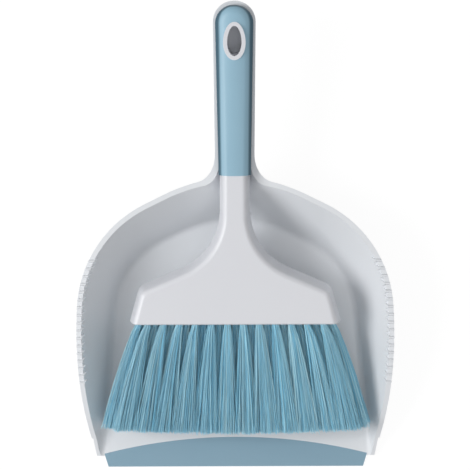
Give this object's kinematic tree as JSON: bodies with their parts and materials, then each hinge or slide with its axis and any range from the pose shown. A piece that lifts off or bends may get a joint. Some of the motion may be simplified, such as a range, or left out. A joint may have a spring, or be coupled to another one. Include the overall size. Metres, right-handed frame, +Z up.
{
  "type": "dustpan and brush set",
  "caption": "Dustpan with comb teeth on its rim, a soft lip and a hollow handle that cradles a hand brush with a soft grip, fanned bristles and a hanging hole",
  "frame": {"origin": "on the ground under the middle of the set's bounding box", "axes": "+X to the right, +Y from the lip to the end of the handle, +Z up"},
  "size_m": [0.2234, 0.328, 0.0756],
  "materials": {
    "white_moulding": "satin moulded polypropylene",
    "soft_lip": "matte thermoplastic rubber",
    "soft_grip": "satin thermoplastic rubber",
    "bristle": "drawn filament"
  },
  "bodies": {
    "pan": {"pan_tray": "white_moulding", "pan_lip": "soft_lip"},
    "brush": {"brush_body": "white_moulding", "brush_grip": "soft_grip", "tuft_1_01": "bristle", "tuft_1_02": "bristle", "tuft_1_03": "bristle", "tuft_1_04": "bristle", "tuft_1_05": "bristle", "tuft_1_06": "bristle", "tuft_1_07": "bristle", "tuft_1_08": "bristle", "tuft_1_09": "bristle", "tuft_1_10": "bristle", "tuft_1_11": "bristle", "tuft_1_12": "bristle", "tuft_2_01": "bristle", "tuft_2_02": "bristle", "tuft_2_03": "bristle", "tuft_2_04": "bristle", "tuft_2_05": "bristle", "tuft_2_06": "bristle", "tuft_2_07": "bristle", "tuft_2_08": "bristle", "tuft_2_09": "bristle", "tuft_2_10": "bristle", "tuft_2_11": "bristle", "tuft_2_12": "bristle", "tuft_2_13": "bristle", "tuft_3_01": "bristle", "tuft_3_02": "bristle", "tuft_3_03": "bristle", "tuft_3_04": "bristle", "tuft_3_05": "bristle", "tuft_3_06": "bristle", "tuft_3_07": "bristle", "tuft_3_08": "bristle", "tuft_3_09": "bristle", "tuft_3_10": "bristle", "tuft_3_11": "bristle", "tuft_3_12": "bristle", "tuft_4_01": "bristle", "tuft_4_02": "bristle", "tuft_4_03": "bristle", "tuft_4_04": "bristle", "tuft_4_05": "bristle", "tuft_4_06": "bristle", "tuft_4_07": "bristle", "tuft_4_08": "bristle", "tuft_4_09": "bristle", "tuft_4_10": "bristle", "tuft_4_11": "bristle", "tuft_4_12": "bristle", "tuft_4_13": "bristle"}
  },
  "joints": [
    {"name": "brush_lift", "type": "slide", "parent": "pan", "child": "brush", "axis": [0, -0.1564, 0.9877], "range_m": [0, 0.12]}
  ]
}
